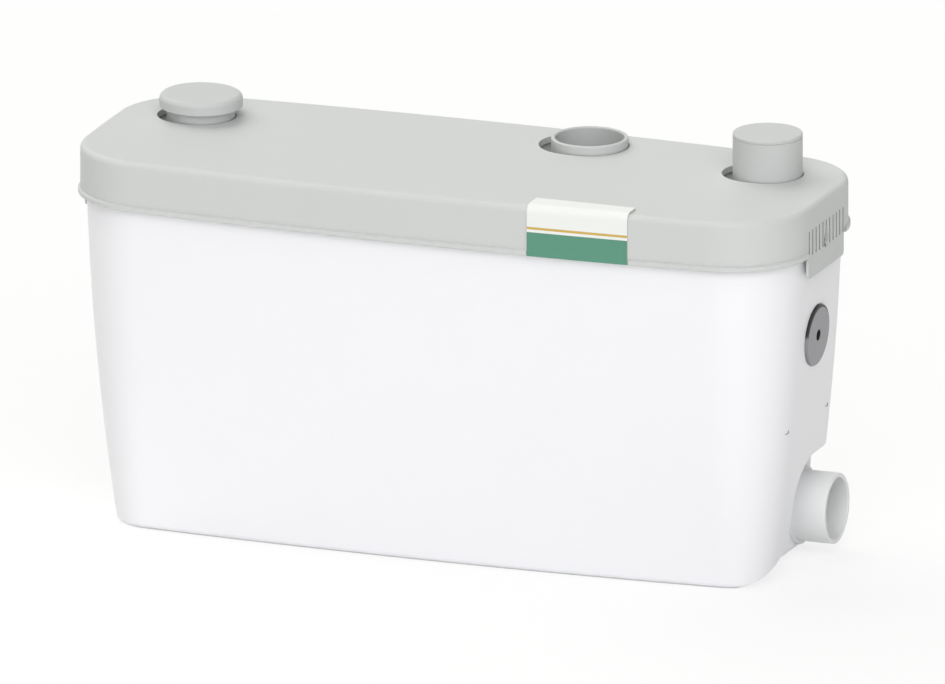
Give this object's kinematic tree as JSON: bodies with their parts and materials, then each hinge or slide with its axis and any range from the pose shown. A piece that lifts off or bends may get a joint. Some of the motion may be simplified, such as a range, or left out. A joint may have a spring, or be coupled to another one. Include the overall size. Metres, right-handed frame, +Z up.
{
  "type": "greywater lifting station",
  "caption": "Small free-standing greywater lifting station: tapered white tank under a bowed grey hood, with vent, discharge, top and side inlet ports, and a pump inside.",
  "frame": {"origin": "centre of the tank's flat base, on the floor", "axes": "+Z up, +X along the length towards the side inlet, -Y the front with the label plate"},
  "size_m": [0.5112, 0.189, 0.2861],
  "materials": {
    "tank_white": "moulded, satin gloss",
    "hood_grey": "moulded, fine matt grain",
    "port_grey": "moulded, fine matt grain",
    "lid_grey": "moulded, matt",
    "stub_white": "moulded, satin",
    "label_white": "printed plate, satin",
    "grommet_grey": "moulded rubber, satin",
    "seal_black": "moulded rubber",
    "screw_steel": "stainless, turned",
    "bearing_steel": "ground",
    "pump_black": "glass filled, matt",
    "lamination": "stacked sheet",
    "winding_copper": "enamelled wire",
    "filter_carbon": "pressed granules",
    "switch_white": "moulded, matt",
    "capacitor_grey": "drawn can",
    "clip_black": "moulded nylon"
  },
  "bodies": {
    "station": {"tank": "tank_white", "top_inlet": "port_grey", "vent_neck": "port_grey", "discharge_collar": "port_grey", "inner_lid": "lid_grey", "terminal_box": "lid_grey", "terminal_cover": "lid_grey", "side_inlet": "stub_white", "cable_grommet": "grommet_grey", "lid_gasket": "seal_black", "collar_seal": "seal_black", "side_seal": "seal_black", "pump_feet": "seal_black", "motor_buffer": "seal_black", "motor_seal": "seal_black", "shaft_seal": "seal_black", "riser_sleeve": "seal_black", "lid_screws": "screw_steel", "casing_screws": "screw_steel", "sleeve_bands": "screw_steel", "flap_pin": "screw_steel", "lower_bearing": "bearing_steel", "upper_bearing": "bearing_steel", "suction_strainer": "pump_black", "pump_casing": "pump_black", "motor_housing": "pump_black", "motor_cover": "pump_black", "riser_pipe": "pump_black", "valve_body": "pump_black", "air_bell": "pump_black", "stator_core": "lamination", "stator_windings": "winding_copper", "carbon_filter": "filter_carbon", "level_switch": "switch_white", "terminal_block": "switch_white", "capacitor": "capacitor_grey", "capacitor_clip": "clip_black", "well_gland": "clip_black"},
    "hood": {"hood": "hood_grey", "label_plate": "label_white"},
    "vent_cap": {"vent_cap": "port_grey"},
    "inlet_plug": {"inlet_plug": "port_grey", "plug_seal": "seal_black"},
    "rotor": {"rotor_core": "lamination", "motor_shaft": "screw_steel", "impeller": "pump_black", "impeller_nut": "screw_steel"},
    "valve_flap": {"valve_flap": "pump_black"}
  },
  "joints": [
    {"name": "hood_lift", "type": "slide", "parent": "station", "child": "hood", "axis": [0, 0, 1], "range_m": [0, 0.08]},
    {"name": "vent_cap_pull", "type": "slide", "parent": "hood", "child": "vent_cap", "axis": [0, 0, 1], "range_m": [0, 0.03]},
    {"name": "inlet_plug_pull", "type": "slide", "parent": "station", "child": "inlet_plug", "axis": [0, 0, 1], "range_m": [0, 0.03]},
    {"name": "pump_spin", "type": "hinge", "parent": "station", "child": "rotor", "pos_m": [-0.04, -0.005, 0.1], "axis": [0, 0, 1], "continuous": true},
    {"name": "valve_flap_swing", "type": "hinge", "parent": "station", "child": "valve_flap", "pos_m": [0.066, 0.0454, 0.207], "axis": [1, 0, 0], "range_deg": [0, 50]}
  ]
}
